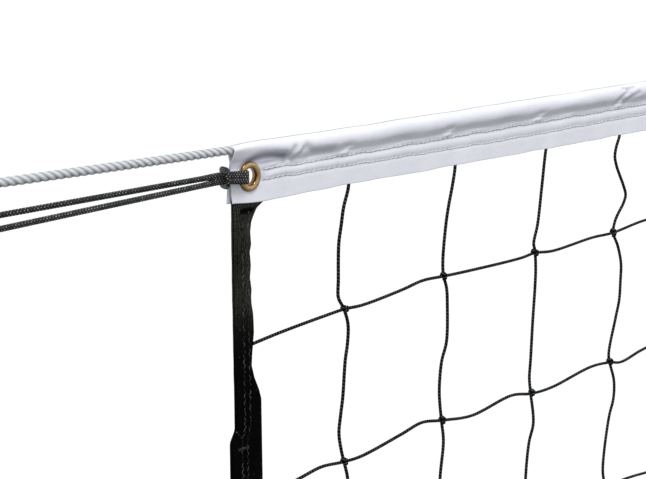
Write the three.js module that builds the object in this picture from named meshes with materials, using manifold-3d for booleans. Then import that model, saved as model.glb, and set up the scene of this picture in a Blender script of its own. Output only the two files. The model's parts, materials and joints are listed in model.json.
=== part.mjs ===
// A volleyball net strung between two free-standing telescopic posts.
// Millimetres, +Z up. X runs along the net, the floor is z = 0 and the origin lies midway between the posts.
import * as THREE from 'three';
import { mergeVertices } from 'three/addons/utils/BufferGeometryUtils.js';
import Module from 'manifold-3d';

const wasm = await Module();
wasm.setup();

// ---- Driving dimensions ----
const GAP = 0.3;                      // clearance between pieces that touch
const NET_LENGTH = 9753.6;            // 32 ft
const NET_TOP = 2240;                 // top edge of the headband at the lower playing height
const MESH_PITCH = 101.6;             // 4 in square mesh
const MESH_ROWS = 9;
const FIRST_KNOT_DROP = 8.5;          // headband top down to the mesh's first row, inside the band
const POST_OFFSET = 400;              // net end to post centre line

const HEADBAND_HEIGHT = 35.5;
const HEADBAND_HALF_THICK = 1.0;      // two layers of vinyl, lower part
const HEM = { halfWidth: 4.5, halfHeight: 5.4, wall: 0.6 };
const TAPE_WIDTH = 24;
const TAPE_HALF_THICK = 1.5;
const NETTING_HALF_THICK = 0.9;

const ROPE_RADIUS = 2.4;
const ROPE_DROP = 3.4;                // headband top down to the rope's centre
const ROPE_RISE = 6;                  // rope climbs from the net end to the sheave
const TIE_RADIUS = 1.65;

const GROMMET = { hole: 4.9, barrel: 5.4, seat: 5.8, flange: 8.8, thick: 1.1 };
const TOP_GROMMET = { fromEnd: 14, drop: 20.1, tieRise: 3.2, tieDrop: 4 };
const BOTTOM_GROMMET = { fromEnd: 12, rise: 14, tieRise: 0, tieDrop: 2 };

const BASE = { radius: 280, top: 30, rim: 18, hubRadius: 48, hubTop: 110, socketFloor: 16, pad: 4, padInner: 190 };
const LOWER_TUBE = { outer: 30, wall: 2.5, top: 1120 };
const UPPER_TUBE = { outer: 25.4, wall: 2.5, bottom: 550, top: 2236 };
const COLLAR = { outer: 37, bottom: 1080, top: 1170, step: 1123.6, bossRadius: 11, bossEnd: 50 };
const BUSH = { inner: 25.9, outer: 27.1, bottom: 1060, flange: 29.6, flangeThick: 3 };
const SLIDE_PLUG = { flange: 27, bottom: 535, top: 575 };
const STOP_RING = { outer: 33, height: 20 };
const CLAMP_SCREW = { radius: 4, reach: 63 };
const KNOB = { radius: 19, lobe: 3, lobes: 5, start: 52, end: 70, boreEnd: 64, z: 1148 };
const SHEAVE = { groove: 16, flange: 20.5, halfWidth: 7, rimHalf: 1.2, bore: 4.4 };
const SHEAVE_PIN = { radius: 4, head: 5.5, headThick: 3.5 };
const CLEAT = { z: 1590, foot: 28, footThick: 4, stem: 9, underHorn: 17, horn: 55, top: 26, width: 12 };
const CLEAT_WRAP = { radius: 14, first: 7.3, last: 13.6 };
const ROPE_SLOT = { bottom: 1688, top: 1748, width: 12 };
const WHEEL = { radius: 45, width: 24, x: 318, z: 48, inner: 61, bore: 6.4 };
const AXLE = { radius: 6, cap: 10, capThick: 3 };
const BRACKET = { inner: 205, outer: 268, halfWidth: 58, thick: 8, earThick: 8, earRadius: 14 };
const SOCKET_BOLT = { radius: 5, headRadius: 9, headThick: 6, z: 80 };

const ROUND = 24;                     // facets round a tube
const ROUND_LARGE = 48;               // facets round a base
const CORD_SIDES = 8;

// ---- Derived sizes ----
const NET_HALF = NET_LENGTH / 2;
const POST_X = NET_HALF + POST_OFFSET;
const NET_BOTTOM = NET_TOP - FIRST_KNOT_DROP - MESH_ROWS * MESH_PITCH;
const BAND_BOTTOM = NET_TOP - HEADBAND_HEIGHT;
const ROPE_Z = NET_TOP - ROPE_DROP;
const SHEAVE_WRAP = SHEAVE.groove + GAP + ROPE_RADIUS;
const SHEAVE_Z = ROPE_Z + ROPE_RISE - SHEAVE_WRAP;

// ---- Materials ----
const material = (color, roughness, metalness = 0) =>
  new THREE.MeshStandardMaterial({ color, roughness, metalness });
const vinyl = material(0xdcdce4, 0.45);
const webbing = material(0x141414, 0.85);
const netCord = material(0x121212, 0.8);
const tieBraid = material(0x1a1a1a, 0.8);
const whiteRope = material(0xd8dade, 0.7);
const brass = material(0xb98a45, 0.3, 1);
const postPaint = material(0x23262b, 0.4, 0.6);
const galvanised = material(0xb8bcc0, 0.35, 0.9);
const castIron = material(0x1d1e20, 0.6, 0.7);
const castAlloy = material(0x9a9da2, 0.4, 0.9);
const rubber = material(0x101010, 0.9);
const nylon = material(0x1b1b1d, 0.5);

// ---- Geometry helpers ----
const toSolid = (geometry) => {
  const bare = geometry.index ? geometry.toNonIndexed() : geometry.clone();
  bare.deleteAttribute('normal');
  bare.deleteAttribute('uv');
  const welded = mergeVertices(bare, 1e-4);
  return new wasm.Manifold(new wasm.Mesh({
    numProp: 3,
    vertProperties: new Float32Array(welded.attributes.position.array),
    triVerts: new Uint32Array(welded.index.array),
  }));
};

const fromSolid = (solid) => {
  const mesh = solid.getMesh();
  const geometry = new THREE.BufferGeometry();
  geometry.setAttribute('position', new THREE.BufferAttribute(mesh.vertProperties, 3));
  geometry.setIndex(new THREE.BufferAttribute(mesh.triVerts, 1));
  geometry.computeVertexNormals();
  return geometry;
};

const join = (...pieces) => fromSolid(pieces.map(toSolid).reduce((all, piece) => all.add(piece)));
const cut = (body, ...tools) => fromSolid(tools.map(toSolid).reduce((left, tool) => left.subtract(tool), toSolid(body)));

// A closed [radius, height] profile turned about +Z.
const turned = (profile, segments = ROUND) => {
  const points = [...profile, profile[0]].map(([r, z]) => new THREE.Vector2(r, z));
  return new THREE.LatheGeometry(points, segments).rotateX(Math.PI / 2);
};
const ring = (inner, outer, bottom, top, segments = ROUND) =>
  turned([[inner, bottom], [outer, bottom], [outer, top], [inner, top]], segments);
const rod = (radius, bottom, top, segments = ROUND) =>
  new THREE.CylinderGeometry(radius, radius, top - bottom, segments)
    .rotateX(Math.PI / 2).translate(0, 0, (top + bottom) / 2);
const box = (x0, x1, y0, y1, z0, z1) =>
  new THREE.BoxGeometry(x1 - x0, y1 - y0, z1 - z0).translate((x0 + x1) / 2, (y0 + y1) / 2, (z0 + z1) / 2);

const alongX = (geometry) => geometry.rotateY(Math.PI / 2);
const alongY = (geometry) => geometry.rotateX(-Math.PI / 2);

// A flat outline given in (Y, Z), pushed along X; or given in (X, Z), pushed along Y.
const pushedAlongX = (shape, length) =>
  new THREE.ExtrudeGeometry(shape, { depth: length, bevelEnabled: false, curveSegments: 8 })
    .applyMatrix4(new THREE.Matrix4().makeBasis(
      new THREE.Vector3(0, 1, 0), new THREE.Vector3(0, 0, 1), new THREE.Vector3(1, 0, 0)))
    .translate(-length / 2, 0, 0);
const pushedAlongY = (shape, depth) =>
  new THREE.ExtrudeGeometry(shape, { depth, bevelEnabled: false, curveSegments: 8 })
    .rotateX(Math.PI / 2).translate(0, depth / 2, 0);

// A smooth curve whose steps fall evenly between its points, so tight bends get as many as long straights.
class Route extends THREE.CatmullRomCurve3 {
  getPointAt(t, target) { return this.getPoint(t, target); }
  getTangentAt(t, target) { return this.getTangent(t, target); }
}

const cord = (points, radius, stepsPerPoint) => {
  const section = new THREE.Shape();
  for (let side = 0; side < CORD_SIDES; side += 1) {
    const angle = side / CORD_SIDES * 2 * Math.PI;
    const [x, y] = [radius * Math.cos(angle), radius * Math.sin(angle)];
    if (side === 0) section.moveTo(x, y);
    else section.lineTo(x, y);
  }
  const path = new Route(points.map((p) => new THREE.Vector3(...p)), false, 'centripetal');
  return new THREE.ExtrudeGeometry(section,
    { extrudePath: path, steps: (points.length - 1) * stepsPerPoint, bevelEnabled: false });
};

const named = (name, geometry, look) => {
  const mesh = new THREE.Mesh(geometry, look);
  mesh.name = name;
  return mesh;
};

// ---- Post, built at the origin with its outer side towards +X ----
const basePad = () => ring(BASE.padInner, BASE.radius - 6, 0, BASE.pad, ROUND_LARGE);

const base = () => {
  const bottom = BASE.pad + GAP;
  const bore = LOWER_TUBE.outer + GAP;
  const body = turned([[0, bottom], [BASE.radius - 4, bottom], [BASE.radius, bottom + 4], [BASE.radius, BASE.rim],
    [BASE.radius - 8, BASE.rim + 5], [BASE.hubRadius + 40, BASE.top], [BASE.hubRadius + 8, BASE.top + 6],
    [BASE.hubRadius, BASE.top + 20], [BASE.hubRadius - 2, BASE.hubTop - 4], [BASE.hubRadius - 6, BASE.hubTop],
    [bore, BASE.hubTop], [bore, BASE.socketFloor], [0, BASE.socketFloor]], ROUND_LARGE);
  const boltHole = alongX(rod(SOCKET_BOLT.radius + GAP, LOWER_TUBE.outer - 4, BASE.hubRadius + 4))
    .translate(0, 0, SOCKET_BOLT.z);
  return cut(body, boltHole);
};

const socketBolt = () => {
  const head = rod(SOCKET_BOLT.headRadius, BASE.hubRadius + GAP, BASE.hubRadius + GAP + SOCKET_BOLT.headThick, 6);
  const shank = rod(SOCKET_BOLT.radius, LOWER_TUBE.outer + GAP, BASE.hubRadius + SOCKET_BOLT.headThick / 2);
  return alongX(join(head, shank)).translate(0, 0, SOCKET_BOLT.z);
};

const lowerTube = () => ring(LOWER_TUBE.outer - LOWER_TUBE.wall, LOWER_TUBE.outer, BASE.socketFloor + GAP, LOWER_TUBE.top);

const guideBush = () => {
  const seat = LOWER_TUBE.top + GAP;
  const top = seat + BUSH.flangeThick;
  return turned([[BUSH.inner, BUSH.bottom], [BUSH.outer, BUSH.bottom], [BUSH.outer, seat],
    [BUSH.flange, seat], [BUSH.flange, top], [BUSH.inner, top]]);
};

const clampCollar = () => {
  const wide = LOWER_TUBE.outer + GAP;
  const narrow = UPPER_TUBE.outer + 2 * GAP;
  const body = turned([[wide, COLLAR.bottom], [COLLAR.outer - 2, COLLAR.bottom], [COLLAR.outer, COLLAR.bottom + 2],
    [COLLAR.outer, COLLAR.top - 4], [COLLAR.outer - 4, COLLAR.top], [narrow, COLLAR.top],
    [narrow, COLLAR.step], [wide, COLLAR.step]]);
  const boss = alongX(rod(COLLAR.bossRadius, COLLAR.outer - 5, COLLAR.bossEnd)).translate(0, 0, KNOB.z);
  const thread = alongX(rod(CLAMP_SCREW.radius + GAP, 10, COLLAR.bossEnd + 1)).translate(0, 0, KNOB.z);
  return cut(join(body, boss), thread);
};

const clampScrew = () =>
  alongX(rod(CLAMP_SCREW.radius, UPPER_TUBE.outer + GAP, CLAMP_SCREW.reach)).translate(0, 0, KNOB.z);

const clampKnob = () => {
  const outline = new THREE.Shape();
  const steps = KNOB.lobes * 8;
  for (let step = 0; step < steps; step += 1) {
    const angle = step / steps * 2 * Math.PI;
    const radius = KNOB.radius + KNOB.lobe * Math.cos(KNOB.lobes * angle);
    const [x, y] = [radius * Math.cos(angle), radius * Math.sin(angle)];
    if (step === 0) outline.moveTo(x, y);
    else outline.lineTo(x, y);
  }
  const grip = new THREE.ExtrudeGeometry(outline,
    { depth: KNOB.end - KNOB.start, bevelEnabled: false }).translate(0, 0, KNOB.start);
  const bore = rod(CLAMP_SCREW.radius + GAP, KNOB.start - 1, KNOB.boreEnd);
  return alongX(cut(grip, bore)).translate(0, 0, KNOB.z);
};

const wheelBracket = () => {
  const seat = BASE.top + 2;
  const plate = box(BRACKET.inner, BRACKET.outer, -BRACKET.halfWidth, BRACKET.halfWidth, seat, seat + BRACKET.thick);
  const ear = new THREE.Shape();
  ear.moveTo(BRACKET.inner, seat);
  ear.lineTo(WHEEL.x - 20, seat);
  ear.lineTo(WHEEL.x, WHEEL.z - BRACKET.earRadius);
  ear.absarc(WHEEL.x, WHEEL.z, BRACKET.earRadius, -Math.PI / 2, Math.PI / 2, false);
  ear.lineTo(BRACKET.inner, seat + BRACKET.thick);
  const side = () => pushedAlongY(ear, BRACKET.earThick);
  const shift = BRACKET.halfWidth - BRACKET.earThick / 2;
  const body = join(plate, side().translate(0, shift, 0), side().translate(0, -shift, 0));
  const hole = alongY(rod(AXLE.radius + GAP, -BRACKET.halfWidth - 1, BRACKET.halfWidth + 1))
    .translate(WHEEL.x, 0, WHEEL.z);
  return cut(body, hole);
};

const wheelAxle = () => {
  const end = WHEEL.inner + WHEEL.width + 2 * GAP;
  const half = [[AXLE.radius, end], [AXLE.cap, end], [AXLE.cap, end + AXLE.capThick]];
  const profile = [[0, -end - AXLE.capThick],
    ...half.map(([r, y]) => [r, -y]).reverse(), ...half, [0, end + AXLE.capThick]];
  return alongY(turned(profile)).translate(WHEEL.x, 0, WHEEL.z);
};

const wheel = (side) => {
  const [near, far] = [WHEEL.inner, WHEEL.inner + WHEEL.width];
  const profile = [[WHEEL.bore, near], [16, near], [18, near + 4], [34, near + 4], [WHEEL.radius - 4, near],
    [WHEEL.radius, near + 5], [WHEEL.radius, far - 5], [WHEEL.radius - 4, far], [34, far - 4], [18, far - 4],
    [16, far], [WHEEL.bore, far]];
  const body = alongY(turned(profile));
  if (side < 0) body.translate(0, -near - far, 0);
  return body.translate(WHEEL.x, 0, WHEEL.z);
};

const upperTube = () => {
  const inner = UPPER_TUBE.outer - UPPER_TUBE.wall;
  const body = ring(inner, UPPER_TUBE.outer, UPPER_TUBE.bottom, UPPER_TUBE.top);
  const pinHole = alongY(rod(SHEAVE_PIN.radius + GAP, -40, 40)).translate(0, 0, SHEAVE_Z);
  const ropeSlot = box(inner / 2, 40, -ROPE_SLOT.width / 2, ROPE_SLOT.width / 2, ROPE_SLOT.bottom, ROPE_SLOT.top);
  return cut(body, pinHole, ropeSlot);
};

const slidePlug = () => {
  const inTube = UPPER_TUBE.outer - UPPER_TUBE.wall - GAP;
  const seat = UPPER_TUBE.bottom - GAP;
  return turned([[15, SLIDE_PLUG.bottom], [SLIDE_PLUG.flange, SLIDE_PLUG.bottom], [SLIDE_PLUG.flange, seat],
    [inTube, seat], [inTube, SLIDE_PLUG.top], [15, SLIDE_PLUG.top]]);
};

const heightStop = () => {
  const bottom = COLLAR.top + GAP;
  const top = bottom + STOP_RING.height;
  return turned([[UPPER_TUBE.outer + GAP, bottom], [STOP_RING.outer, bottom], [STOP_RING.outer, top - 3],
    [STOP_RING.outer - 3, top], [UPPER_TUBE.outer + GAP, top]]);
};

const sheave = () => {
  const { groove, flange, halfWidth, rimHalf, bore } = SHEAVE;
  const grooveHalf = halfWidth - 2 * rimHalf;
  return alongY(turned([[bore, -halfWidth], [flange, -halfWidth], [flange, -halfWidth + rimHalf],
    [groove, -grooveHalf / 2], [groove, grooveHalf / 2], [flange, halfWidth - rimHalf],
    [flange, halfWidth], [bore, halfWidth]])).translate(0, 0, SHEAVE_Z);
};

const sheavePin = () => {
  const seat = UPPER_TUBE.outer + GAP;
  const { radius, head, headThick } = SHEAVE_PIN;
  return alongY(turned([[0, -seat - headThick], [head, -seat - headThick], [head, -seat], [radius, -seat],
    [radius, seat], [head, seat], [head, seat + headThick], [0, seat + headThick]])).translate(0, 0, SHEAVE_Z);
};

const cleat = () => {
  const { foot, footThick, stem, underHorn, horn, top, width } = CLEAT;
  const tip = (top - underHorn) / 4;
  const outline = new THREE.Shape();
  outline.moveTo(0, -foot);
  outline.lineTo(footThick, -foot);
  outline.lineTo(footThick, -stem);
  outline.lineTo(underHorn, -stem);
  outline.lineTo(top - 3 * tip, -horn);
  outline.absarc(top - 2 * tip, -horn, tip, Math.PI, Math.PI * 2, false);
  outline.quadraticCurveTo(top, -stem, top, 0);
  outline.quadraticCurveTo(top, stem, top - tip, horn);
  outline.absarc(top - 2 * tip, horn, tip, 0, Math.PI, false);
  outline.lineTo(underHorn, stem);
  outline.lineTo(footThick, stem);
  outline.lineTo(footThick, foot);
  outline.lineTo(0, foot);
  return pushedAlongY(outline, width).translate(UPPER_TUBE.outer + GAP, 0, CLEAT.z);
};

const makePost = (label, side) => {
  const post = new THREE.Group();
  post.position.x = side * POST_X;
  post.rotation.z = side < 0 ? Math.PI : 0;
  const pieces = [
    ['base_pad', basePad(), rubber], ['base', base(), castIron], ['socket_bolt', socketBolt(), galvanised],
    ['lower_tube', lowerTube(), postPaint], ['guide_bush', guideBush(), nylon],
    ['clamp_collar', clampCollar(), castAlloy], ['clamp_screw', clampScrew(), galvanised],
    ['clamp_knob', clampKnob(), nylon], ['wheel_bracket', wheelBracket(), postPaint],
    ['wheel_axle', wheelAxle(), galvanised], ['front_wheel', wheel(-side), rubber], ['rear_wheel', wheel(side), rubber],
    ['upper_tube', upperTube(), galvanised], ['slide_plug', slidePlug(), nylon],
    ['height_stop', heightStop(), castAlloy], ['sheave', sheave(), nylon], ['sheave_pin', sheavePin(), galvanised],
    ['rope_cleat', cleat(), castAlloy],
  ];
  for (const [name, geometry, look] of pieces) post.add(named(`${label}_${name}`, geometry, look));
  return post;
};

// ---- Net ----
const headband = () => {
  const hemCentre = -HEM.halfHeight;
  const neck = Math.asin(HEADBAND_HALF_THICK / HEM.halfWidth);
  const outline = new THREE.Shape();
  outline.moveTo(-HEADBAND_HALF_THICK, -HEADBAND_HEIGHT);
  outline.lineTo(HEADBAND_HALF_THICK, -HEADBAND_HEIGHT);
  outline.absellipse(0, hemCentre, HEM.halfWidth, HEM.halfHeight, neck - Math.PI / 2, 3 * Math.PI / 2 - neck, false, 0);
  const tunnel = new THREE.Path();
  tunnel.absellipse(0, hemCentre, HEM.halfWidth - HEM.wall, HEM.halfHeight - HEM.wall, 0, 2 * Math.PI, true, 0);
  outline.holes.push(tunnel);
  const holes = [-1, 1].map((side) => alongY(rod(GROMMET.seat, -5, 5))
    .translate(side * (NET_HALF - TOP_GROMMET.fromEnd), 0, -TOP_GROMMET.drop));
  return cut(pushedAlongX(outline, NET_LENGTH), ...holes).translate(0, 0, NET_TOP);
};

const netting = () => {
  const half = NET_HALF - TAPE_WIDTH - GAP;
  return box(-half, half, -NETTING_HALF_THICK, NETTING_HALF_THICK, NET_BOTTOM + TAPE_WIDTH + GAP, BAND_BOTTOM - GAP);
};

const sideTape = (side) => {
  const inner = side * (NET_HALF - TAPE_WIDTH);
  const outer = side * NET_HALF;
  const body = box(Math.min(inner, outer), Math.max(inner, outer), -TAPE_HALF_THICK, TAPE_HALF_THICK,
    NET_BOTTOM, BAND_BOTTOM - GAP);
  const hole = alongY(rod(GROMMET.seat, -5, 5))
    .translate(side * (NET_HALF - BOTTOM_GROMMET.fromEnd), 0, NET_BOTTOM + BOTTOM_GROMMET.rise);
  return cut(body, hole);
};

const bottomTape = () => {
  const half = NET_HALF - TAPE_WIDTH - GAP;
  return box(-half, half, -TAPE_HALF_THICK, TAPE_HALF_THICK, NET_BOTTOM, NET_BOTTOM + TAPE_WIDTH);
};

// The eyelet's flange lies on the front (-Y) and its barrel goes through; the washer closes it at the back.
const eyelet = (halfThick) => {
  const seat = halfThick + GAP;
  return alongY(turned([[GROMMET.hole, -seat - GROMMET.thick], [GROMMET.flange - 1, -seat - GROMMET.thick],
    [GROMMET.flange, -seat], [GROMMET.barrel, -seat], [GROMMET.barrel, seat], [GROMMET.hole, seat]]));
};
const washer = (halfThick) => {
  const seat = halfThick + GAP;
  return alongY(turned([[GROMMET.barrel + GAP, seat], [GROMMET.flange, seat],
    [GROMMET.flange - 1, seat + GROMMET.thick], [GROMMET.barrel + GAP, seat + GROMMET.thick]]));
};

// ---- Cords ----
// Half of the top rope: along the headband, over the sheave, down inside the post, out through its slot
// and one and a half turns round the cleat. Each point is [distance from mid-net, y, z].
const halfRope = () => {
  const beyondNet = (distance) => [NET_HALF + distance, 0, ROPE_Z + ROPE_RISE * distance / POST_OFFSET];
  const points = [[2500, 0, ROPE_Z], [NET_HALF - 300, 0, ROPE_Z], [NET_HALF - 20, 0, ROPE_Z], beyondNet(60),
    beyondNet(POST_OFFSET - 60), beyondNet(POST_OFFSET - 15)];
  for (const degrees of [90, 67.5, 45, 22.5, 0]) {
    const angle = THREE.MathUtils.degToRad(degrees);
    points.push([POST_X + SHEAVE_WRAP * Math.cos(angle), 0, SHEAVE_Z + SHEAVE_WRAP * Math.sin(angle)]);
  }
  const fromTube = [[-6.7, 0, 600], [-6.7, 0, 190], [-6.2, 0, 165], [-1.2, 0, 128], [4.5, 3, 98], [7, 11, 55]];
  const turns = 10;
  for (let step = 0; step <= turns; step += 1) {
    const angle = THREE.MathUtils.degToRad(30 - 45 * step);
    const out = CLEAT_WRAP.first + (CLEAT_WRAP.last - CLEAT_WRAP.first) * step / turns;
    fromTube.push([out, CLEAT_WRAP.radius * Math.cos(angle), CLEAT_WRAP.radius * Math.sin(angle)]);
  }
  fromTube.push([12, 9, -50], [9, 8, -100], [8, 8, -150]);
  for (const [out, y, up] of fromTube) points.push([POST_X + UPPER_TUBE.outer + out, y, CLEAT.z + up]);
  return points;
};

const topRope = () => {
  const right = halfRope();
  const left = right.map(([x, y, z]) => [-x, y, z]).reverse();
  return cord([...left, ...right], ROPE_RADIUS, 1);
};

// A tie cord, doubled and hitched through a grommet: its bight lies over its own two legs just outside the
// net's edge, and the legs pass in front of and behind the post and meet on its outer side. Points are
// [out, y, spread], where out runs from the grommet towards the post and spread from the hitch's centre line.
const tieCord = (side, grommetX, grommetZ, halfThick, { fromEnd, tieRise, tieDrop }) => {
  const lie = halfThick + 2 * GAP + GROMMET.thick + TIE_RADIUS + 0.2;
  const across = POST_X - grommetX;
  const wrap = UPPER_TUBE.outer + 2 * GAP + TIE_RADIUS;
  const bight = fromEnd + 12;
  const apart = TIE_RADIUS + 0.05;
  const leg = (sign) => {
    const points = [8, 24, 40, 56, 72, 88].map((degrees) => {
      const angle = THREE.MathUtils.degToRad(degrees);
      return [across + wrap * Math.cos(angle), sign * wrap * Math.sin(angle), 0];
    });
    const middle = sign < 0 ? -0.56 * wrap : 0.39 * wrap;
    const start = sign < 0 ? -lie - 1 : -lie + 1.2;
    return [...points, [across / 2, middle, sign * 0.6], [bight + 18, start, sign * apart]];
  };
  const hitch = (sign) => [[bight, -lie, apart], [9, -lie, apart], [4.9, -lie + 0.15, apart],
    [2.8, -lie + 1.4, apart], [2.2, 0, apart], [2.8, lie - 1.4, apart], [4.9, lie - 0.15, apart], [9, lie, apart],
    [fromEnd - 1, lie, apart + 0.4], [fromEnd + 5, lie - 2, 4.6], [bight - 3.5, -1.5, 5.3],
    [bight - 1.7, -lie - 1.2, 4.9], [bight - 0.6, -lie - 3.3, 2.8]].map(([out, y, spread]) => [out, y, sign * spread]);
  const route = [...leg(-1), ...hitch(-1), [bight, -lie - 3.6, 0], ...hitch(1).reverse(), ...leg(1).reverse()];
  const level = (out) => (out < bight
    ? tieRise * out / bight
    : tieRise - (tieRise + tieDrop) * Math.min((out - bight) / (across - bight), 1));
  return cord(route.map(([out, y, spread]) => [side * (grommetX + out), y, grommetZ + level(out) + spread]),
    TIE_RADIUS, 1);
};

// ---- Assembly ----
const assembly = new THREE.Group();
assembly.name = 'volleyball_net_on_posts';
assembly.add(named('headband', headband(), vinyl));
assembly.add(named('netting', netting(), netCord));
assembly.add(named('bottom_tape', bottomTape(), webbing));
assembly.add(named('top_rope', topRope(), whiteRope));

for (const [label, side] of [['left', -1], ['right', 1]]) {
  assembly.add(makePost(label, side));
  assembly.add(named(`${label}_side_tape`, sideTape(side), webbing));
  const corners = [
    ['upper', NET_HALF - TOP_GROMMET.fromEnd, NET_TOP - TOP_GROMMET.drop, HEADBAND_HALF_THICK, TOP_GROMMET],
    ['lower', NET_HALF - BOTTOM_GROMMET.fromEnd, NET_BOTTOM + BOTTOM_GROMMET.rise, TAPE_HALF_THICK, BOTTOM_GROMMET],
  ];
  for (const [level, x, z, halfThick, grommet] of corners) {
    const place = (geometry) => geometry.translate(side * x, 0, z);
    assembly.add(named(`${label}_${level}_eyelet`, place(eyelet(halfThick)), brass));
    assembly.add(named(`${label}_${level}_washer`, place(washer(halfThick)), brass));
    assembly.add(named(`${label}_${level}_tie_cord`, tieCord(side, x, z, halfThick, grommet), tieBraid));
  }
}

export default assembly;
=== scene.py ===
import itertools
import json
import math
import random

import bmesh
import bpy
import numpy as np
from mathutils import Matrix, Vector


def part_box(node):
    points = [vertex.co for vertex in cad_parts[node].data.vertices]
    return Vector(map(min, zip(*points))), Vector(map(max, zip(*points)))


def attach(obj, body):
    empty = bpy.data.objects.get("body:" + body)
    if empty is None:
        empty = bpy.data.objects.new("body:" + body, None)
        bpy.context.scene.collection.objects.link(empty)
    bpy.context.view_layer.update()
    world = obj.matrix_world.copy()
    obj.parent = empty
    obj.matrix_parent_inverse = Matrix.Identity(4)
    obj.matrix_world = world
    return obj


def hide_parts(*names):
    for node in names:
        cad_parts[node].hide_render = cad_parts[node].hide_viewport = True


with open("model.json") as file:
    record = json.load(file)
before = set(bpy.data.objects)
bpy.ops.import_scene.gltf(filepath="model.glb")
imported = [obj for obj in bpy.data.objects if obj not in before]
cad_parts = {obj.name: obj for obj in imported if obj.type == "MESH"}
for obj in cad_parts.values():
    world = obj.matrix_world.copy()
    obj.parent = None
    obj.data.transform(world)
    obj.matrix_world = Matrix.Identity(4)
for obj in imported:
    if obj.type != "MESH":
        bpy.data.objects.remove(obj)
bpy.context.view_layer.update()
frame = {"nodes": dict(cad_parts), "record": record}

MM = 0.001
SEED = 20
NET_BODY = "raised_net"
SIDES = (("left", -1), ("right", 1))

# ---- Places, from the frame ----
band_low, band_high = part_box("headband")
NET_END = band_high[0]                  # the net runs from -NET_END to NET_END
BAND_TOP = band_high[2]
BAND_BOTTOM = band_low[2]
NET_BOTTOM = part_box("bottom_tape")[0][2]
tube_low, tube_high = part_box("right_upper_tube")
POST_X = (tube_low[0] + tube_high[0]) / 2
POST_RADIUS = (tube_high[0] - tube_low[0]) / 2

# ---- Sizes in metres, and counts, as in the CAD source ----
GAP = 0.3 * MM
MESH_ROWS = 9
FIRST_KNOT_DROP = 8.5 * MM
BAND_HALF_THICK = 1.0 * MM
TAPE_WIDTH = 24 * MM
TAPE_HALF_THICK = 1.5 * MM
ROPE_RADIUS = 2.4 * MM
ROPE_DROP = 3.4 * MM
ROPE_RISE = 6 * MM
TIE_RADIUS = 1.65 * MM
NET_CORD_RADIUS = 1.1 * MM
SHEAVE_WRAP = 18.7 * MM
GROMMET_HOLE, GROMMET_BARREL, GROMMET_FLANGE, GROMMET_THICK = 4.9 * MM, 5.4 * MM, 8.8 * MM, 1.1 * MM
TOP_GROMMET_IN, TOP_GROMMET_DROP = 14 * MM, 20.1 * MM
LOW_GROMMET_IN, LOW_GROMMET_RISE = 12 * MM, 14 * MM

ROPE_Z = BAND_TOP - ROPE_DROP
SHEAVE_Z = ROPE_Z + ROPE_RISE - SHEAVE_WRAP
CLEAT_Z = sum(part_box("right_rope_cleat")[k][2] for k in (0, 1)) / 2
POST_OFFSET = POST_X - NET_END
CELLS = 96
PITCH_X = (2 * NET_END + 9 * MM) / CELLS
FIRST_COLUMN = -NET_END - 4.5 * MM
ROW_TOP = BAND_TOP - FIRST_KNOT_DROP
PITCH_Z = (ROW_TOP - NET_BOTTOM) / MESH_ROWS

# Each corner's grommet: how far out it sits, how high, and half the thickness that it clamps.
CORNERS = {
    "upper": (NET_END - TOP_GROMMET_IN, BAND_TOP - TOP_GROMMET_DROP, BAND_HALF_THICK),
    "lower": (NET_END - LOW_GROMMET_IN, NET_BOTTOM + LOW_GROMMET_RISE, TAPE_HALF_THICK),
}


# ---- Camera ----
# Found by a separate program, as the best fit to points measured on the photograph. The place is in metres,
# from the net's left end, its plane and the headband's lower edge. The turn is yaw, pitch and roll in
# degrees.
CAMERA_LENS = 97.97
CAMERA_PLACE = (-0.6989, -0.7069, 0.1826)
CAMERA_TURN = (42.29, -11.53, 0.22)


def make_camera():
    """Stands off the net's left end, slightly above the headband, as the photograph was taken."""
    data = bpy.data.cameras.new("camera")
    data.sensor_width = 36.0
    data.lens = CAMERA_LENS
    data.clip_start, data.clip_end = 0.05, 400.0
    camera = bpy.data.objects.new("camera", data)
    bpy.context.scene.collection.objects.link(camera)
    camera.location = (-NET_END + CAMERA_PLACE[0], CAMERA_PLACE[1], BAND_BOTTOM + CAMERA_PLACE[2])
    yaw, pitch, roll = [math.radians(degrees) for degrees in CAMERA_TURN]
    forward = Vector((math.cos(pitch) * math.cos(yaw), math.cos(pitch) * math.sin(yaw), math.sin(pitch)))
    camera.rotation_mode = "QUATERNION"
    turn = forward.to_track_quat("-Z", "Y")
    camera.rotation_quaternion = turn @ Matrix.Rotation(-roll, 3, "Z").to_quaternion()
    bpy.context.scene.camera = camera


# ---- Mesh helpers ----
def new_object(name, verts, faces, smooth=True):
    mesh = bpy.data.meshes.new(name)
    mesh.from_pydata([tuple(v) for v in verts], [], [tuple(f) for f in faces])
    mesh.update()
    mesh.polygons.foreach_set("use_smooth", [smooth] * len(mesh.polygons))
    piece = bpy.data.objects.new(name, mesh)
    bpy.context.scene.collection.objects.link(piece)
    return piece


def paint(piece, name, values):
    """Stores one number for each vertex, which a material reads by name."""
    layer = piece.data.attributes.new(name, "FLOAT", "POINT")
    layer.data.foreach_set("value", np.asarray(values, dtype=np.float32).ravel())


def skin_faces(rows, columns):
    """Quads joining closed rows of points, with a face over the first row and one over the last."""
    row = np.arange(rows - 1)[:, None] * columns
    here = np.arange(columns)[None, :]
    there = (here + 1) % columns
    quads = np.stack([row + here, row + there, row + columns + there, row + columns + here], axis=-1)
    last = (rows - 1) * columns
    return quads.reshape(-1, 4).tolist() + [list(range(columns))[::-1], list(range(last, last + columns))]


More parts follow.
